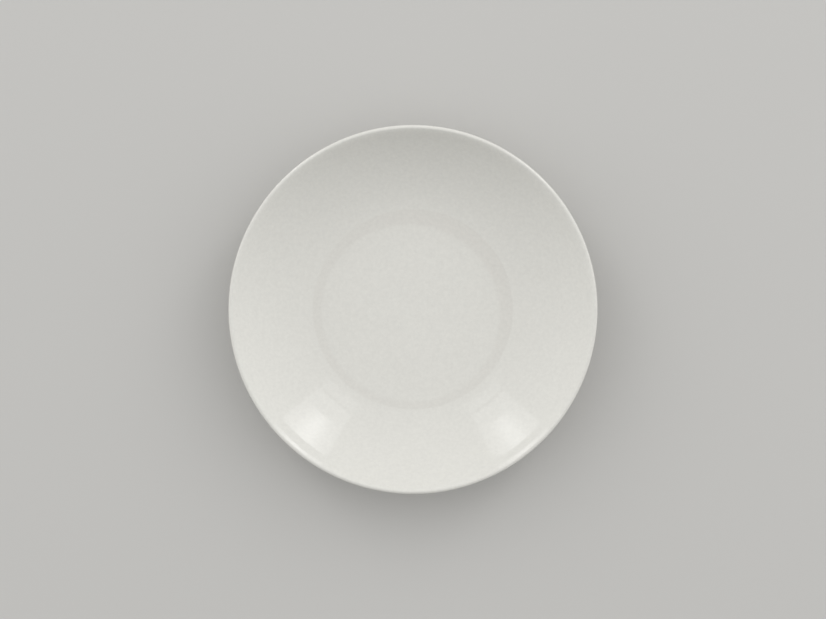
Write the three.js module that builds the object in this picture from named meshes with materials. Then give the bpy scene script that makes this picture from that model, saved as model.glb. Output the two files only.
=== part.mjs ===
// Deep coupe plate, built up as it is made: a pressed porcelain body on a bare foot ring, a smooth gloss
// glaze on the eating face, and a plain glaze on the back and in the recess inside the foot.
// Millimetres, +Z up. The origin is on the table, in the middle of the foot ring.

import * as THREE from "three";

// Overall sizes
const RIM_DIAMETER = 260; // over the widest line of the lip
const HEIGHT = 40; // from the table to the crest of the lip

// The well: a level floor, a dished band round it, and the crease where the wall begins
const WELL_DIAMETER = 144; // of the crease
const DISH_WIDTH = 25; // of the band between the level floor and the crease
const DISH_EDGE_SLOPE = 4; // degrees, just inside the crease
const WALL_START_SLOPE = 8; // degrees, just outside the crease
const FLOOR_THICKNESS = 6; // of the porcelain and both its coats
const WALL_THICKNESS = 5; // the same, square to the wall at the crease

// The lip: a slow shoulder in from the wall and a tight curve over the edge
const LIP_SHOULDER_RADIUS = 25;
const LIP_EDGE_RADIUS = 1.7;
const LIP_TURN = 10.5; // degrees, how much steeper than the line from crease to rim the two curves meet

// The foot, which stands under the crease of the well
const FOOT_OVERHANG = 2; // of its glazed outer side past the crease
const FOOT_WIDTH = 6; // over both glazed sides
const FOOT_DEPTH = 3; // from the table to the glazed recess
const FOOT_EDGE_RADIUS = 1; // of the two rounded edges it stands on
const FOOT_FILLET = 1.6; // where its outer side runs into the wall
const RECESS_FILLET = 1; // where its inner side runs into the recess
const GLAZE_STOP = 0.2; // the coats end this far above the rounded edges

// The coats of glaze
const FACE_GLAZE = 0.4;
const BACK_GLAZE = 0.3;

// Facets
const AROUND = 60;
const DISH_STEPS = 3;
const WALL_STEPS = 7;
const LIP_EDGE_STEPS = 3;
const LIP_CREST_STEPS = 2;
const LIP_SHOULDER_STEPS = 2;
const EDGE_STEPS = 3;

// Every outline below lies in half of the plate's section: x is the distance from the axis and y the
// height. It runs up the back, over the lip and down the face, so the plate lies on its left.
const at = (x, y) => new THREE.Vector2(x, y);
const QUARTER_TURN = Math.PI / 2;

// Points on a circle, from one angle to another.
function arcPoints(centre, radius, from, to, steps) {
  return Array.from({ length: steps + 1 }, (_, i) => {
    const angle = THREE.MathUtils.lerp(from, to, i / steps);
    return at(centre.x + radius * Math.cos(angle), centre.y + radius * Math.sin(angle));
  });
}

// The hollow arc that leaves a point uphill at a slope and ends where it touches a circle: from outside
// if side is 1, or with the circle inside the arc if side is -1. Its centre lies above its points.
function arcTouching(start, slope, circle, side) {
  const towardsCentre = at(-Math.sin(slope), Math.cos(slope));
  const offset = start.clone().sub(circle.centre);
  const reach = side * circle.radius;
  const radius = (offset.lengthSq() - reach ** 2) / (2 * (reach - towardsCentre.dot(offset)));
  const centre = start.clone().addScaledVector(towardsCentre, radius);
  const end = Math.atan2(circle.centre.y - centre.y, circle.centre.x - centre.x);
  return { centre, radius, start: slope - QUARTER_TURN, end };
}

// Joins runs of points into one outline, leaving out a point that repeats the one before it.
function chain(...runs) {
  return runs.flat().filter((point, i, all) => i === 0 || point.distanceTo(all[i - 1]) > 1e-6);
}

// The outline moved into the plate by a coat's thickness, each facet staying parallel to its own. The
// point with the index levelAt moves level towards the axis, so that the coat is cut level there.
function inset(outline, thickness, levelAt) {
  const normals = outline.slice(1).map((point, i) => {
    const travel = point.clone().sub(outline[i]).normalize();
    return at(-travel.y, travel.x);
  });
  return outline.map((point, i) => {
    const before = normals[Math.max(i - 1, 0)];
    const after = normals[Math.min(i, normals.length - 1)];
    const direction = i === levelAt ? at(-1, 0) : before.clone().add(after).normalize();
    return point.clone().addScaledVector(direction, thickness / direction.dot(after));
  });
}

// Turns a half section about the plate's axis, then stands it up with +Z as its axis.
function turned(name, section, material) {
  const geometry = new THREE.LatheGeometry(section, AROUND).rotateX(QUARTER_TURN);
  const mesh = new THREE.Mesh(geometry, new THREE.MeshStandardMaterial(material));
  mesh.name = name;
  return mesh;
}

// The crease, at the outer end of the dished band
const wellRadius = WELL_DIAMETER / 2;
const floorHeight = FOOT_DEPTH + FLOOR_THICKNESS;
const dishSlope = THREE.MathUtils.degToRad(DISH_EDGE_SLOPE);
const dishRadius = DISH_WIDTH / Math.sin(dishSlope);
const dishCentre = at(wellRadius - DISH_WIDTH, floorHeight + dishRadius);
const crease = at(wellRadius, dishCentre.y - dishRadius * Math.cos(dishSlope));

// The lip's two circles touch on the face, just inside the crest.
const rimRadius = RIM_DIAMETER / 2;
const crest = at(rimRadius - LIP_EDGE_RADIUS, HEIGHT);
const lipEdge = { centre: at(crest.x, crest.y - LIP_EDGE_RADIUS), radius: LIP_EDGE_RADIUS };
const lineSlope = Math.atan2(HEIGHT - crease.y, rimRadius - crease.x);
const lipTurn = lineSlope + THREE.MathUtils.degToRad(LIP_TURN);
const towardsShoulder = at(Math.sin(lipTurn), -Math.cos(lipTurn));
const shoulderOffset = towardsShoulder.multiplyScalar(LIP_SHOULDER_RADIUS - LIP_EDGE_RADIUS);
const lipShoulder = { centre: lipEdge.centre.clone().add(shoulderOffset), radius: LIP_SHOULDER_RADIUS };
const turnAngle = QUARTER_TURN + lipTurn;

// The eating face, from the widest line of the lip in to the middle of the floor
const wallSlope = THREE.MathUtils.degToRad(WALL_START_SLOPE);
const innerWall = arcTouching(crease, wallSlope, lipShoulder, 1);
const faceOutline = chain(
  arcPoints(lipEdge.centre, lipEdge.radius, 0, QUARTER_TURN, LIP_EDGE_STEPS),
  arcPoints(lipEdge.centre, lipEdge.radius, QUARTER_TURN, turnAngle, LIP_CREST_STEPS),
  arcPoints(lipShoulder.centre, lipShoulder.radius, turnAngle, innerWall.end + Math.PI, LIP_SHOULDER_STEPS),
  arcPoints(innerWall.centre, innerWall.radius, innerWall.end, innerWall.start, WALL_STEPS),
  arcPoints(dishCentre, dishRadius, dishSlope - QUARTER_TURN, -QUARTER_TURN, DISH_STEPS),
  [at(0, floorHeight)],
);

// The back, from where its glaze stops on the foot's outer side up to the widest line of the lip. The
// wall's outer arc starts a wall's thickness under the crease and comes closer towards the lip.
const footRadius = wellRadius + FOOT_OVERHANG;
const seatHeight = FOOT_DEPTH + BACK_GLAZE;
const stopHeight = FOOT_EDGE_RADIUS + GLAZE_STOP;
const throughWall = at(Math.sin(wallSlope), -Math.cos(wallSlope)).multiplyScalar(WALL_THICKNESS);
const outerWall = arcTouching(crease.clone().add(throughWall), wallSlope, lipEdge, -1);
const filletX = footRadius + FOOT_FILLET;
const filletReach = outerWall.radius + FOOT_FILLET;
const filletDrop = Math.sqrt(filletReach ** 2 - (filletX - outerWall.centre.x) ** 2);
const filletCentre = at(filletX, outerWall.centre.y - filletDrop);
const filletEnd = outerWall.centre.clone().sub(filletCentre).angle();
const backOutline = chain(
  [at(footRadius, stopHeight), at(footRadius, seatHeight)],
  arcPoints(filletCentre, FOOT_FILLET, Math.PI, filletEnd, EDGE_STEPS),
  arcPoints(outerWall.centre, outerWall.radius, filletEnd - Math.PI, outerWall.end, WALL_STEPS),
  arcPoints(lipEdge.centre, lipEdge.radius, outerWall.end, 0, LIP_EDGE_STEPS),
);

// The porcelain under the two coats, which meet on the lip
const underFace = inset(faceOutline, FACE_GLAZE, 0);
const underBack = inset(backOutline, BACK_GLAZE, backOutline.length - 1);

// The pressed body: floor, wall and lip, level underneath where the foot ring is seated.
function porcelainBody() {
  const section = chain([at(0, seatHeight)], underBack.slice(1), underFace);
  return turned("porcelain_body", section, { color: 0xe8e5de, roughness: 0.55, metalness: 0 });
}

// The gloss glaze over the floor, the wall and the top of the lip.
function faceGlaze() {
  const section = chain(underFace.toReversed(), faceOutline);
  return turned("face_glaze", section, { color: 0xdcdbd5, roughness: 0.1, metalness: 0 });
}

// The plain glaze from the lip down over the outside of the foot ring.
function backGlaze() {
  const section = chain(backOutline, underBack.toReversed(), [backOutline[0]]);
  return turned("back_glaze", section, { color: 0xdcdbd6, roughness: 0.12, metalness: 0 });
}

// The foot ring, seated under the body between the coats on its two sides. Its face is ground bare.
const recessRadius = footRadius - FOOT_WIDTH;
const ringInner = recessRadius + BACK_GLAZE;
const ringOuter = footRadius - BACK_GLAZE;

function footRing() {
  const innerEdge = at(ringInner + FOOT_EDGE_RADIUS, FOOT_EDGE_RADIUS);
  const outerEdge = at(ringOuter - FOOT_EDGE_RADIUS, FOOT_EDGE_RADIUS);
  const section = chain(
    [at(ringInner, seatHeight)],
    arcPoints(innerEdge, FOOT_EDGE_RADIUS, Math.PI, 3 * QUARTER_TURN, EDGE_STEPS),
    arcPoints(outerEdge, FOOT_EDGE_RADIUS, -QUARTER_TURN, 0, EDGE_STEPS),
    [at(ringOuter, seatHeight), at(ringInner, seatHeight)],
  );
  return turned("foot_ring", section, { color: 0xe2ddd3, roughness: 0.65, metalness: 0 });
}

// The plain glaze under the floor, which fills the corner at the foot ring's inner side.
function recessGlaze() {
  const corner = at(recessRadius - RECESS_FILLET, FOOT_DEPTH - RECESS_FILLET);
  const section = chain(
    [at(0, FOOT_DEPTH)],
    arcPoints(corner, RECESS_FILLET, QUARTER_TURN, 0, EDGE_STEPS),
    [at(recessRadius, stopHeight), at(ringInner, stopHeight), at(ringInner, seatHeight), at(0, seatHeight)],
  );
  return turned("recess_glaze", section, { color: 0xdbdad5, roughness: 0.15, metalness: 0 });
}

const plate = new THREE.Group();
plate.name = "deep_coupe_plate";
plate.add(porcelainBody(), footRing(), faceGlaze(), backGlaze(), recessGlaze());

export default plate;
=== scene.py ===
import math

import bpy
import numpy as np
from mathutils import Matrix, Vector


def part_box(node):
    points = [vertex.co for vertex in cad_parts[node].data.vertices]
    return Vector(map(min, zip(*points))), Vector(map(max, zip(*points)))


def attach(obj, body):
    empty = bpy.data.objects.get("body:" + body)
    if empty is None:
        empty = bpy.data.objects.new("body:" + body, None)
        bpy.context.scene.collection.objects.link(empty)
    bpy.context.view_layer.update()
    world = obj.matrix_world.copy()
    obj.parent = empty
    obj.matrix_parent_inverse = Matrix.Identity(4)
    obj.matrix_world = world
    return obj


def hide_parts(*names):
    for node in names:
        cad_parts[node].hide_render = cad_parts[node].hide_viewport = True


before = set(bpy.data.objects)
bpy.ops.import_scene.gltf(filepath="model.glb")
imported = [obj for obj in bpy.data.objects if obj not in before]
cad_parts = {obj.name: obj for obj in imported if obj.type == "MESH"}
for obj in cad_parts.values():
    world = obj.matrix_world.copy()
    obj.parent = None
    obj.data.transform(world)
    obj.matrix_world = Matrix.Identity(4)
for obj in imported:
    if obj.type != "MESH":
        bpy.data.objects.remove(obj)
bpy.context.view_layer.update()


# Porcelain body
# The core of the plate: clay pressed between two moulds and fired, with the level floor, the dished
# band round it, the curved wall and the lip all in one. The coats of glaze and the foot ring cover it.

QUARTER = math.pi / 2
POINT_SPACING = 0.0015
FEWEST_STEPS = 8
TURN_STEPS = 256
SAME_POINT = 1e-7
SHARP_EDGE = math.radians(35)

WELL_RADIUS = 0.072
DISH_WIDTH = 0.025
DISH_EDGE_SLOPE = math.radians(4)
WALL_START_SLOPE = math.radians(8)
WALL_THICKNESS = 0.005
CREASE_FILLET = 0.025
LIP_SHOULDER_RADIUS = 0.025
LIP_TURN = math.radians(10.5)
FOOT_OVERHANG = 0.002
FOOT_FILLET = 0.0016
FACE_COAT = 0.0004
BACK_COAT = 0.0003

face_low, face_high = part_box("face_glaze")
back_low, back_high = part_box("back_glaze")
seat_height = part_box("porcelain_body")[0].z
floor_height = face_low.z + FACE_COAT
stop_height = back_low.z
rim_radius = face_high.x
lip_edge_radius = face_high.z - back_high.z
foot_radius = WELL_RADIUS + FOOT_OVERHANG


def line(start, end):
    """Points evenly spaced on the straight line between two points of the half section."""
    steps = math.ceil(math.dist(start, end) / POINT_SPACING)
    return np.linspace(start, end, steps + 1)


def arc(centre, radius, start, end):
    """Points on a circle of the half section: the centre plus the radius times the cosine and the sine
    of angles that go evenly from start to end."""
    steps = max(FEWEST_STEPS, math.ceil(abs(end - start) * radius / POINT_SPACING))
    angle = np.linspace(start, end, steps + 1)
    return centre + radius * np.column_stack([np.cos(angle), np.sin(angle)])


def joined(*runs):
    """Runs of points end to end, without the points that repeat the one before them."""
    points = np.concatenate([np.atleast_2d(run) for run in runs])
    step = np.linalg.norm(np.diff(points, axis=0), axis=1)
    return points[np.append(True, step > SAME_POINT)]


def direction(start, end):
    """The angle of the line from one point of the half section to another."""
    return math.atan2(end[1] - start[1], end[0] - start[0])


def circle_touching(start, slope, other_centre, other_radius):
    """The circle that leaves a point at a slope, with its centre above, and touches another circle. Where
    other_radius is negative the other circle lies inside it. The distance between the two centres is
    the sum of the radii, and solving that for the radius gives one straight equation."""
    towards_centre = np.array([-math.sin(slope), math.cos(slope)])
    offset = start - other_centre
    radius = (offset @ offset - other_radius**2) / (2 * (other_radius - towards_centre @ offset))
    return start + radius * towards_centre, radius


def outer_meeting(centre_a, radius_a, centre_b, radius_b):
    """The outer of the two points that lie radius_a from one centre and radius_b from the other: along
    the line of centres by the cosine rule, then square to it by what is left of radius_a."""
    apart = math.dist(centre_a, centre_b)
    along = (centre_b - centre_a) / apart
    reach = (apart**2 + radius_a**2 - radius_b**2) / (2 * apart)
    square = np.array([along[1], -along[0]])
    square *= np.sign(square[0])
    return centre_a + reach * along + math.sqrt(radius_a**2 - reach**2) * square


# The lip's two circles touch on the face, just inside the crest, where the face is a little steeper than
# the line from the crease to the rim. The wall touches the wider of the two.
dish_radius = DISH_WIDTH / math.sin(DISH_EDGE_SLOPE)
dish_centre = np.array([WELL_RADIUS - DISH_WIDTH, floor_height + dish_radius])
crease = np.array([WELL_RADIUS, dish_centre[1] - dish_radius * math.cos(DISH_EDGE_SLOPE)])
lip_edge_centre = np.array([rim_radius, face_high.z]) - lip_edge_radius
turn_slope = direction(crease, (rim_radius, face_high.z)) + LIP_TURN
lip_turn = QUARTER + turn_slope
towards_shoulder = np.array([math.sin(turn_slope), -math.cos(turn_slope)])
lip_shoulder_centre = lip_edge_centre + (LIP_SHOULDER_RADIUS - lip_edge_radius) * towards_shoulder
wall_centre, wall_radius = circle_touching(
    crease, WALL_START_SLOPE, lip_shoulder_centre, LIP_SHOULDER_RADIUS
)
wall_end = direction(wall_centre, lip_shoulder_centre)
crease_centre = outer_meeting(
    dish_centre, dish_radius - CREASE_FILLET, wall_centre, wall_radius - CREASE_FILLET
)
crease_outer = direction(wall_centre, crease_centre)
crease_inner = direction(dish_centre, crease_centre)


def face_at(depth):
    """The eating face from the lip's widest line in to the axis, sunk by a depth: each arc keeps its
    centre and its angles, the lip's arcs shrink by the depth and the hollow ones grow by it."""
    level = floor_height - depth
    return joined(
        arc(lip_edge_centre, lip_edge_radius - depth, 0, lip_turn),
        arc(lip_shoulder_centre, LIP_SHOULDER_RADIUS - depth, lip_turn, wall_end + math.pi),
        arc(wall_centre, wall_radius + depth, wall_end, crease_outer),
        arc(crease_centre, CREASE_FILLET + depth, crease_outer, crease_inner),
        arc(dish_centre, dish_radius + depth, crease_inner, -QUARTER),
        line((dish_centre[0], level), (0, level)),
    )


# The wall's outer circle starts a wall's thickness under the crease and holds the lip's tight one inside.
through_wall = np.array([math.sin(WALL_START_SLOPE), -math.cos(WALL_START_SLOPE)])
under_crease = crease + WALL_THICKNESS * through_wall
back_centre, back_radius = circle_touching(
    under_crease, WALL_START_SLOPE, lip_edge_centre, -lip_edge_radius
)
back_end = direction(back_centre, lip_edge_centre)
fillet_x = foot_radius + FOOT_FILLET
fillet_drop = math.sqrt((back_radius + FOOT_FILLET) ** 2 - (fillet_x - back_centre[0]) ** 2)
fillet_centre = np.array([fillet_x, back_centre[1] - fillet_drop])
fillet_end = direction(fillet_centre, back_centre)


def back_at(depth, start_height):
    """The back from a height on the foot's outer side up to the lip's widest line, sunk by a depth: the
    foot's fillet grows by the depth, and the wall's and the lip's arcs shrink by it."""
    side = foot_radius - depth
    return joined(
        line((side, start_height), (side, fillet_centre[1])),
        arc(fillet_centre, FOOT_FILLET + depth, math.pi, fillet_end),
        arc(back_centre, back_radius - depth, fillet_end - math.pi, back_end),
        arc(lip_edge_centre, lip_edge_radius - depth, back_end, 0),
    )


def turned(name, section):
    """A half section carried round the Z axis: vertex (i, j) is section point i turned by j equal steps
    of a full circle. A section that starts and ends on the axis gets one vertex at each pole, and any
    other one closes on itself. The plate's substance lies to the left of the section's travel."""
    capped = section[0, 0] < SAME_POINT
    rings = section[1:-1] if capped else section
    count = len(rings)
    angle = np.arange(TURN_STEPS) * 2 * math.pi / TURN_STEPS
    radius, height = rings[:, :1], rings[:, 1:]
    grid = np.stack([radius * np.cos(angle), radius * np.sin(angle), height + 0 * angle], axis=2)
    vertices = grid.reshape(-1, 3)
    low = np.arange(count - 1 if capped else count)[:, None] * TURN_STEPS
    high = (low + TURN_STEPS) % (count * TURN_STEPS)
    here = np.arange(TURN_STEPS)
    there = (here + 1) % TURN_STEPS
    quads = np.stack([low + here, low + there, high + there, high + here], axis=2)
    faces = quads.reshape(-1, 4).tolist()
    if capped:
        vertices = np.vstack([vertices, [0, 0, section[0, 1]], [0, 0, section[-1, 1]]])
        last_ring = (count - 1) * TURN_STEPS
        first_pole = np.full(TURN_STEPS, count * TURN_STEPS)
        last_pole = first_pole + 1
        faces += np.column_stack([first_pole, there, here]).tolist()
        faces += np.column_stack([last_ring + here, last_ring + there, last_pole]).tolist()
    mesh = bpy.data.meshes.new(name)
    mesh.from_pydata(vertices, [], faces)
    mesh.shade_smooth()
    mesh.set_sharp_from_angle(angle=SHARP_EDGE)
    piece = bpy.data.objects.new(name, mesh)
    bpy.context.scene.collection.objects.link(piece)
    return piece


def add(tree, kind, inputs=None, **settings):
    """A shader node of a kind, with its settings, and with each named input set to a value or linked to
    another node's output."""
    node = tree.nodes.new("ShaderNode" + kind)
    for key, value in settings.items():
        setattr(node, key, value)
    for key, value in (inputs or {}).items():
        if isinstance(value, bpy.types.NodeSocket):
            tree.links.new(value, node.inputs[key])
        else:
            node.inputs[key].default_value = value
    return node


def finish_named(name):
    """A new material, its node tree and the Principled shader in it."""
    material = bpy.data.materials.new(name)
    material.use_nodes = True
    return material, material.node_tree, material.node_tree.nodes["Principled BSDF"]


def srgb(red, green, blue):
    """A colour as linear light, from the 0 to 255 values that a screen shows."""
    value = np.array([red, green, blue]) / 255
    linear = np.where(value <= 0.04045, value / 12.92, ((value + 0.055) / 1.055) ** 2.4)
    return (*linear, 1.0)


BISCUIT_COLOUR = srgb(232, 228, 219)
BISCUIT_SHADE = srgb(222, 217, 207)
BISCUIT_ROUGHNESS = 0.55
BISCUIT_SPECKS_PER_METRE = 500.0


def biscuit_tone(tree, coordinates):
    """Fired clay's tone: the colour goes towards its shade by noise of 2 mm specks."""
    inputs = {"Vector": coordinates, "Scale": BISCUIT_SPECKS_PER_METRE, "Detail": 3.0}
    specks = add(tree, "TexNoise", inputs)
    return add(
        tree, "Mix", {"Factor": specks.outputs["Fac"], "A": BISCUIT_COLOUR, "B": BISCUIT_SHADE},
        data_type="RGBA",
    ).outputs["Result"]


biscuit, tree, shader = finish_named("biscuit")
place = add(tree, "TexCoord").outputs["Object"]
tree.links.new(biscuit_tone(tree, place), shader.inputs["Base Color"])
shader.inputs["Roughness"].default_value = BISCUIT_ROUGHNESS

body = turned(
    "pressed_body",
    joined((0, seat_height), back_at(BACK_COAT, seat_height), face_at(FACE_COAT)),
)
body.data.materials.append(biscuit)
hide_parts("porcelain_body")
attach(body, "root")


# Foot ring
# The ring of bare porcelain that the plate stands on, of one clay with the body. Its face is ground
# flat on a wheel after firing, which leaves fine rings round it, and its edges are rounded.

FOOT_EDGE_RADIUS = 0.001
WHEEL_MARKS_PER_METRE = 4000.0
CLAY_GRAINS_PER_METRE = 1800.0
GROUND_RELIEF = 0.000012
GROUND_SMOOTHEST, GROUND_ROUGHEST = 0.5, 0.72

ring_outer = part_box("foot_ring")[1].x
ring_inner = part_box("recess_glaze")[1].x

inner_edge = np.array([ring_inner + FOOT_EDGE_RADIUS, FOOT_EDGE_RADIUS])
outer_edge = np.array([ring_outer - FOOT_EDGE_RADIUS, FOOT_EDGE_RADIUS])
ring = turned(
    "foot",
    joined(
        line((ring_inner, seat_height), (ring_inner, FOOT_EDGE_RADIUS)),
        arc(inner_edge, FOOT_EDGE_RADIUS, math.pi, 3 * QUARTER),
        arc(outer_edge, FOOT_EDGE_RADIUS, -QUARTER, 0),
        line((ring_outer, FOOT_EDGE_RADIUS), (ring_outer, seat_height)),
    ),
)

ground, tree, shader = finish_named("ground_biscuit")
place = add(tree, "TexCoord").outputs["Object"]
flat_place = add(tree, "VectorMath", {0: place, 1: (1, 1, 0)}, operation="MULTIPLY")
from_axis = add(tree, "VectorMath", {0: flat_place.outputs["Vector"]}, operation="LENGTH")
wheel_marks = add(
    tree, "TexNoise",
    {"W": from_axis.outputs["Value"], "Scale": WHEEL_MARKS_PER_METRE, "Detail": 2.0},
    noise_dimensions="1D",
)
clay_grain = add(tree, "TexNoise", {"Vector": place, "Scale": CLAY_GRAINS_PER_METRE, "Detail": 4.0})
roughness = add(
    tree, "MapRange",
    {"Value": wheel_marks.outputs["Fac"], "To Min": GROUND_SMOOTHEST, "To Max": GROUND_ROUGHEST},
)
relief = add(
    tree, "Math", {0: wheel_marks.outputs["Fac"], 1: clay_grain.outputs["Fac"]}, operation="ADD"
)
bump = add(
    tree, "Bump", {"Strength": 1.0, "Distance": GROUND_RELIEF, "Height": relief.outputs["Value"]}
)
tree.links.new(biscuit_tone(tree, place), shader.inputs["Base Color"])
tree.links.new(roughness.outputs["Result"], shader.inputs["Roughness"])
tree.links.new(bump.outputs["Normal"], shader.inputs["Normal"])
ring.data.materials.append(ground)
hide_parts("foot_ring")
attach(ring, "root")


# Face glaze
# The white gloss glaze that is sprayed on the eating face and fused to the porcelain. Inside the crease
# of the well its colour has a darker ring of painted shade and painted reflection, wider and deeper
# towards one side.

FACE_COLOUR = srgb(220, 219, 213)
PAINTED_RING_EDGE = 0.0663
PAINTED_RING_RISE, PAINTED_RING_FALL = 0.0017, 0.0008
PAINTED_RING_WIDE_SIDE = math.radians(55)
PAINTED_RING_SPREAD = 0.0062
PAINTED_RING_UNEVEN = 0.3
CLOUDS_PER_METRE = 24.0
GRAINS_PER_METRE = 400.0
RIPPLES_PER_METRE = 130.0
MELT_RIPPLE = 0.000004
GLOSS_SPREAD = 0.04
GLAZE_IOR = 1.5
NO_TINT = (1.0, 1.0, 1.0)


def smooth_step(low, high, value):
    """From 0 at low to 1 at high along the curve three t squared less two t cubed."""
    t = np.clip((value - low) / (high - low), 0, 1)
    return t * t * (3 - 2 * t)


def set_depth(piece, depth):
    """Keeps a tint depth at each vertex: 1 for the full dark tint, 0 for none, -1 for the full thin tint."""
    attribute = piece.data.attributes.new("tint_depth", "FLOAT", "POINT")
    attribute.data.foreach_set("value", depth.astype(np.float32))


def places_of(piece):
    """The vertices' three coordinates, each as one array."""
    flat = np.empty(3 * len(piece.data.vertices), np.float32)
    piece.data.vertices.foreach_get("co", flat)
    return flat.reshape(-1, 3).T


def glaze_skin_group():
    """What every coat shares. Tone is one plus broad clouds of noise and fine grain, each by its amount,
    times one of two tints: the dark one by the depth above even, or the thin one by the depth below. On
    the face coat the dark tint is painted shade and painted reflection; on the back and in the recess it
    is pooled glaze. Height is the melt's slow ripple, and roughness gets a little of the grain."""
    group = bpy.data.node_groups.new("glaze_skin", "ShaderNodeTree")
    sockets = group.interface
    sockets.new_socket("Colour", in_out="INPUT", socket_type="NodeSocketColor")
    for name in ("Clouds", "Grain", "Roughness", "Roughness Spread"):
        sockets.new_socket(name, in_out="INPUT", socket_type="NodeSocketFloat")
    sockets.new_socket("Thin Tint", in_out="INPUT", socket_type="NodeSocketColor")
    sockets.new_socket("Dark Tint", in_out="INPUT", socket_type="NodeSocketColor")
    sockets.new_socket("Colour", in_out="OUTPUT", socket_type="NodeSocketColor")
    sockets.new_socket("Roughness", in_out="OUTPUT", socket_type="NodeSocketFloat")
    sockets.new_socket("Height", in_out="OUTPUT", socket_type="NodeSocketFloat")
    given = group.nodes.new("NodeGroupInput").outputs
    result = group.nodes.new("NodeGroupOutput").inputs
    place = add(group, "TexCoord").outputs["Object"]
    depth = add(group, "Attribute", attribute_name="tint_depth").outputs["Fac"]
    clouds = add(group, "TexNoise", {"Vector": place, "Scale": CLOUDS_PER_METRE, "Detail": 2.0})
    grain = add(
        group, "TexNoise",
        {"Vector": place, "Scale": GRAINS_PER_METRE, "Detail": 3.0, "Roughness": 0.6},
    )
    ripple = add(group, "TexNoise", {"Vector": place, "Scale": RIPPLES_PER_METRE, "Detail": 1.0})

    def around_zero(noise):
        return add(group, "Math", {0: noise.outputs["Fac"], 1: 0.5}, operation="SUBTRACT").outputs["Value"]

    def plus_share(base, value, share):
        inputs = {0: value, 1: share, 2: base}
        return add(group, "Math", inputs, operation="MULTIPLY_ADD").outputs["Value"]

    def tinted(colour, tint, full_depth):
        share = add(group, "MapRange", {"Value": depth, "From Max": full_depth})
        inputs = {"Factor": share.outputs["Result"], "A": colour, "B": tint}
        mix = add(group, "Mix", inputs, data_type="RGBA", blend_type="MULTIPLY")
        return mix.outputs["Result"]

    tone = plus_share(1.0, around_zero(clouds), given["Clouds"])
    tone = plus_share(tone, around_zero(grain), given["Grain"])
    toned = add(group, "VectorMath", {0: given["Colour"], "Scale": tone}, operation="SCALE")
    darkened = tinted(toned.outputs["Vector"], given["Dark Tint"], 1.0)
    group.links.new(tinted(darkened, given["Thin Tint"], -1.0), result["Colour"])
    rough = plus_share(given["Roughness"], around_zero(grain), given["Roughness Spread"])
    group.links.new(rough, result["Roughness"])
    group.links.new(ripple.outputs["Fac"], result["Height"])
    return group


glaze_skin = glaze_skin_group()


def glaze(name, colour, clouds, grain, roughness, dark_tint, thin_tint):
    """A coat's material: the shared skin feeds the colour, the roughness and the ripple of a gloss."""
    material, tree, shader = finish_named(name)
    skin = tree.nodes.new("ShaderNodeGroup")
    skin.node_tree = glaze_skin
    values = {
        "Colour": colour, "Clouds": clouds, "Grain": grain, "Roughness": roughness,
        "Roughness Spread": GLOSS_SPREAD, "Thin Tint": (*thin_tint, 1), "Dark Tint": (*dark_tint, 1),
    }
    for key, value in values.items():
        skin.inputs[key].default_value = value
    ripple = add(
        tree, "Bump", {"Strength": 1.0, "Distance": MELT_RIPPLE, "Height": skin.outputs["Height"]}
    )
    tree.links.new(skin.outputs["Colour"], shader.inputs["Base Color"])
    tree.links.new(skin.outputs["Roughness"], shader.inputs["Roughness"])
    tree.links.new(ripple.outputs["Normal"], shader.inputs["Normal"])
    shader.inputs["IOR"].default_value = GLAZE_IOR
    return material


# The painted ring of shade and reflection lies between an inner edge and the crease. Round the axis,
# the share of its extra width and depth is the fourth power of the cosine of half the angle from its
# wide side.
face = turned("face_coat", joined(face_at(FACE_COAT)[::-1], face_at(0)))
x, y = places_of(face)[:2]
distance = np.hypot(x, y)
wide_side_share = np.cos((np.arctan2(y, x) - PAINTED_RING_WIDE_SIDE) / 2) ** 4
darker_share = smooth_step(-PAINTED_RING_RISE, PAINTED_RING_RISE, distance - PAINTED_RING_EDGE + PAINTED_RING_SPREAD * wide_side_share)
darker_share *= 1 - PAINTED_RING_UNEVEN * (1 - wide_side_share)
darker_share *= 1 - smooth_step(-PAINTED_RING_FALL, PAINTED_RING_FALL, distance - WELL_RADIUS)
set_depth(face, darker_share)
# The dark tint paints shade and a reflection into the glaze's colour in that ring.
face.data.materials.append(
    glaze(
        "gloss_glaze", FACE_COLOUR, clouds=0.02, grain=0.16, roughness=0.04,
        dark_tint=(0.957, 0.950, 0.948), thin_tint=NO_TINT,
    )
)
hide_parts("face_glaze")
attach(face, "root")


# Back glaze
# The thinner white glaze on the outside, from the lip's widest line down over the side of the foot. It
# is wiped off above the table, and its edge there draws back into a small roll as it melts.

BACK_COLOUR = srgb(217, 216, 212)
BACK_THIN_TINT = (1.03, 1.02, 0.995)
THIN_START, THIN_FULL = 0.1245, 0.128
FOOT_POOL_FULL, FOOT_POOL_END = 0.0045, 0.009
BACK_EDGE_WIDTH = 0.0012

roll_centre = np.array([foot_radius - BACK_COAT, stop_height + BACK_COAT])
back = turned(
    "back_coat",
    joined(
        arc(roll_centre, BACK_COAT, -QUARTER, 0),
        back_at(0, stop_height + BACK_COAT),
        back_at(BACK_COAT, stop_height)[::-1],
    )[:-1],
)

# It pools low on the foot, but is thin at the lip and at the wiped edge, which outweighs the pool.
x, y, height = places_of(back)
darker_share = 1 - smooth_step(FOOT_POOL_FULL, FOOT_POOL_END, height)
thin = smooth_step(THIN_START, THIN_FULL, np.hypot(x, y))
edge = 1 - smooth_step(stop_height, stop_height + BACK_EDGE_WIDTH, height)
set_depth(back, np.clip(darker_share - 2 * edge - thin, -1, 1))
back.data.materials.append(
    glaze(
        "plain_glaze", BACK_COLOUR, clouds=0.02, grain=0.03, roughness=0.1,
        dark_tint=(0.965, 0.97, 0.975), thin_tint=BACK_THIN_TINT,
    )
)
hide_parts("back_glaze")
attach(back, "root")


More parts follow.
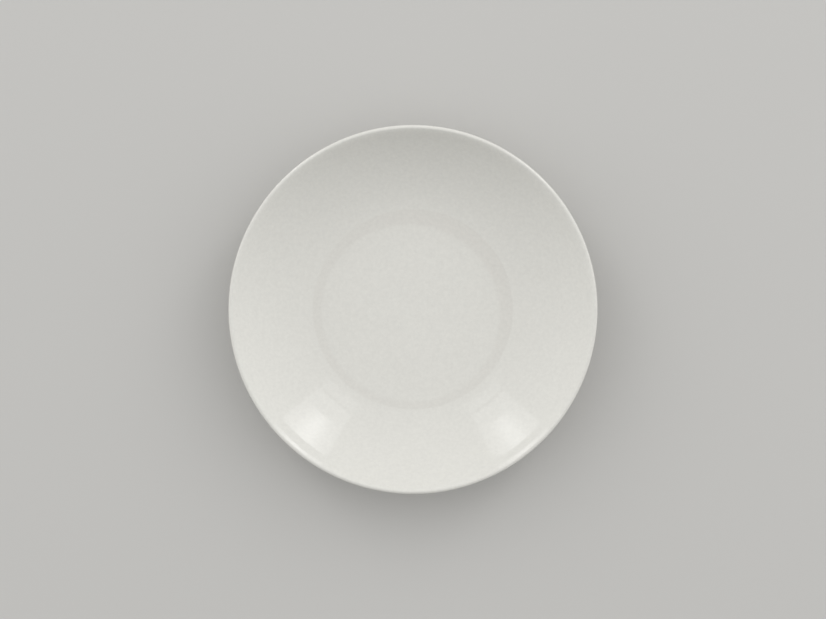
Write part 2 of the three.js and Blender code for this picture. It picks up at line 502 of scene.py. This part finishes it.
# Recess glaze
# The same white glaze on the underside of the floor, inside the foot ring. It gathers in the corner at
# the ring and is wiped off at the same height as on the outside.

RECESS_FILLET = 0.001
CORNER_POOL_WIDTH = 0.004
RECESS_EDGE_WIDTH = 0.0006

recess_radius = ring_inner - BACK_COAT
recess_height = seat_height - BACK_COAT
corner_centre = np.array([recess_radius - RECESS_FILLET, recess_height - RECESS_FILLET])
inner_roll_centre = np.array([ring_inner, stop_height + BACK_COAT])
recess = turned(
    "recess_coat",
    joined(
        line((0, recess_height), (corner_centre[0], recess_height)),
        arc(corner_centre, RECESS_FILLET, QUARTER, 0),
        arc(inner_roll_centre, BACK_COAT, math.pi, 3 * QUARTER),
        line((ring_inner, stop_height), (ring_inner, seat_height)),
        line((ring_inner, seat_height), (0, seat_height)),
    ),
)
x, y, height = places_of(recess)
darker_share = smooth_step(corner_centre[0] - CORNER_POOL_WIDTH, recess_radius, np.hypot(x, y))
edge = 1 - smooth_step(stop_height, stop_height + RECESS_EDGE_WIDTH, height)
set_depth(recess, np.clip(darker_share - 2 * edge, -1, 1))
recess.data.materials.append(
    glaze(
        "recess_glaze", BACK_COLOUR, clouds=0.03, grain=0.03, roughness=0.12,
        dark_tint=(0.96, 0.966, 0.972), thin_tint=BACK_THIN_TINT,
    )
)
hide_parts("recess_glaze")
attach(recess, "root")


# Table
# A plain pale matt surface under the plate, which takes its shadow. It is wide enough to keep its edges
# out of view.

TABLE_HALF_WIDTH = 30.0
TABLE_DROP = 0.0001
TABLE_COLOUR = srgb(196, 195, 192)
TABLE_ROUGHNESS = 0.8

corners = np.array([[-1, -1], [1, -1], [1, 1], [-1, 1]]) * TABLE_HALF_WIDTH
table_mesh = bpy.data.meshes.new("table")
table_mesh.from_pydata(np.column_stack([corners, np.full(4, -TABLE_DROP)]), [], [(0, 1, 2, 3)])
table = bpy.data.objects.new("table", table_mesh)
bpy.context.scene.collection.objects.link(table)
matt, tree, shader = finish_named("pale_table")
shader.inputs["Base Color"].default_value = TABLE_COLOUR
shader.inputs["Roughness"].default_value = TABLE_ROUGHNESS
table_mesh.materials.append(matt)


# Light
# Soft light from all round, more of it from the side that the picture's top shows. Two tall soft boxes
# stand at the far left and the far right, each with a dimmer head above its bright lower part and a
# fainter panel over a gap above that.

SKY_LEVEL = 0.705
SKY_TOWARDS = (0.03, 0.285, 0.09)
SKY_ALONG = (0.545, -0.265, 0.0)
BOX_DISTANCE = 1.3
BOX_WIDTH = 0.455
BOX_STEP, BOX_TOP = 1.275, 2.235
RIGHT_BOX_LOW, LEFT_BOX_LOW = 0.26, 0.237
RIGHT_BOX_AZIMUTH, LEFT_BOX_AZIMUTH = math.radians(49.6), math.radians(128.5)
RIGHT_BOX_LEVEL, LEFT_BOX_LEVEL = 3.45, 2.8
BOX_EDGE_SHARE = 0.33
BOX_HOT_WIDTH = 0.47
BOX_HOT_HEIGHT = 0.42
BOX_END_FALL = 0.85
BOX_HEAD_LEVEL = 0.89
PANEL_LOW, PANEL_TOP = 2.46, 3.85
PANEL_LEVEL = 0.65

# The sky's level in a direction is a constant, plus the direction's dot product with one vector, plus the
# dot product of its squared coordinates with another.
world = bpy.data.worlds.new("soft_light")
bpy.context.scene.world = world
world.use_nodes = True
tree = world.node_tree
towards = add(tree, "TexCoord").outputs["Generated"]
squares = add(tree, "VectorMath", {0: towards, 1: towards}, operation="MULTIPLY")
lean = add(tree, "VectorMath", {0: towards, 1: SKY_TOWARDS}, operation="DOT_PRODUCT")
spread = add(
    tree, "VectorMath", {0: squares.outputs["Vector"], 1: SKY_ALONG}, operation="DOT_PRODUCT"
)
leaning = add(tree, "Math", {0: lean.outputs["Value"], 1: SKY_LEVEL}, operation="ADD")
sky = add(tree, "Math", {0: leaning.outputs["Value"], 1: spread.outputs["Value"]}, operation="ADD")
background = tree.nodes["Background"]
background.inputs["Color"].default_value = (1.0, 1.0, 1.0, 1.0)
tree.links.new(sky.outputs["Value"], background.inputs["Strength"])


def upright_lamp(name, azimuth, low, top, level):
    """A flat lamp that stands upright at an azimuth round the plate's axis, from one height to another,
    and faces the axis. Its power is pi times its area times its level, which is then how bright it
    looks from the front."""
    lamp = bpy.data.lights.new(name, "AREA")
    lamp.shape = "RECTANGLE"
    lamp.size = BOX_WIDTH
    lamp.size_y = top - low
    lamp.energy = level * math.pi * lamp.size * lamp.size_y
    holder = bpy.data.objects.new(name, lamp)
    holder.location = (
        BOX_DISTANCE * math.cos(azimuth), BOX_DISTANCE * math.sin(azimuth), (low + top) / 2
    )
    holder.rotation_euler = (QUARTER, 0, azimuth + QUARTER)
    holder.visible_camera = False
    bpy.context.scene.collection.objects.link(holder)
    return lamp


def hot_spot(lamp):
    """Makes a lamp brightest at one height on its upright middle line. The share of its level falls from 1
    towards the edge share along the bell curve of the distance from that line, which is 1 at its edges,
    and by a part of the square of the distance from that height, where the lamp's own height is 1."""
    lamp.use_nodes = True
    tree = lamp.node_tree
    place = add(tree, "SeparateXYZ", {"Vector": add(tree, "NewGeometry").outputs["Parametric"]})

    def squared(value):
        return add(tree, "Math", {0: value, 1: 2.0}, operation="POWER").outputs["Value"]

    across = add(tree, "MapRange", {"Value": place.outputs["X"], "To Min": -1.0, "To Max": 1.0})
    scaled = add(
        tree, "Math", {0: squared(across.outputs["Result"]), 1: -1 / BOX_HOT_WIDTH**2},
        operation="MULTIPLY",
    )
    bell = add(tree, "Math", {0: scaled.outputs["Value"]}, operation="EXPONENT")
    middle = add(tree, "MapRange", {"Value": bell.outputs["Value"], "To Min": BOX_EDGE_SHARE})
    above = add(tree, "Math", {0: place.outputs["Y"], 1: BOX_HOT_HEIGHT}, operation="SUBTRACT")
    ends = add(
        tree, "Math", {0: squared(above.outputs["Value"]), 1: -BOX_END_FALL, 2: 1.0},
        operation="MULTIPLY_ADD",
    )
    share = add(
        tree, "Math", {0: middle.outputs["Result"], 1: ends.outputs["Value"]}, operation="MULTIPLY"
    )
    tree.links.new(share.outputs["Value"], tree.nodes["Emission"].inputs["Strength"])


for side, azimuth, low, level in (
    ("right", RIGHT_BOX_AZIMUTH, RIGHT_BOX_LOW, RIGHT_BOX_LEVEL),
    ("left", LEFT_BOX_AZIMUTH, LEFT_BOX_LOW, LEFT_BOX_LEVEL),
):
    hot_spot(upright_lamp(f"{side}_box", azimuth, low, BOX_STEP, level))
    upright_lamp(f"{side}_box_head", azimuth, BOX_STEP, BOX_TOP, BOX_HEAD_LEVEL)
    upright_lamp(f"{side}_panel", azimuth, PANEL_LOW, PANEL_TOP, PANEL_LEVEL)


# Camera
# It looks straight down the plate's axis. Its lens shows the plate as wide as the picture does, from a
# distance that is a guess.

PICTURE_WIDTH_PX = 826
PLATE_WIDTH_PX = 369.1
CAMERA_ABOVE_RIM = 1.3

eye = bpy.data.cameras.new("camera")
picture_width = 2 * rim_radius * PICTURE_WIDTH_PX / PLATE_WIDTH_PX
eye.lens = eye.sensor_width * CAMERA_ABOVE_RIM / picture_width
camera = bpy.data.objects.new("camera", eye)
camera.location = (0, 0, lip_edge_centre[1] + CAMERA_ABOVE_RIM)
bpy.context.scene.collection.objects.link(camera)
bpy.context.scene.camera = camera
bpy.context.scene.view_settings.view_transform = "Standard"
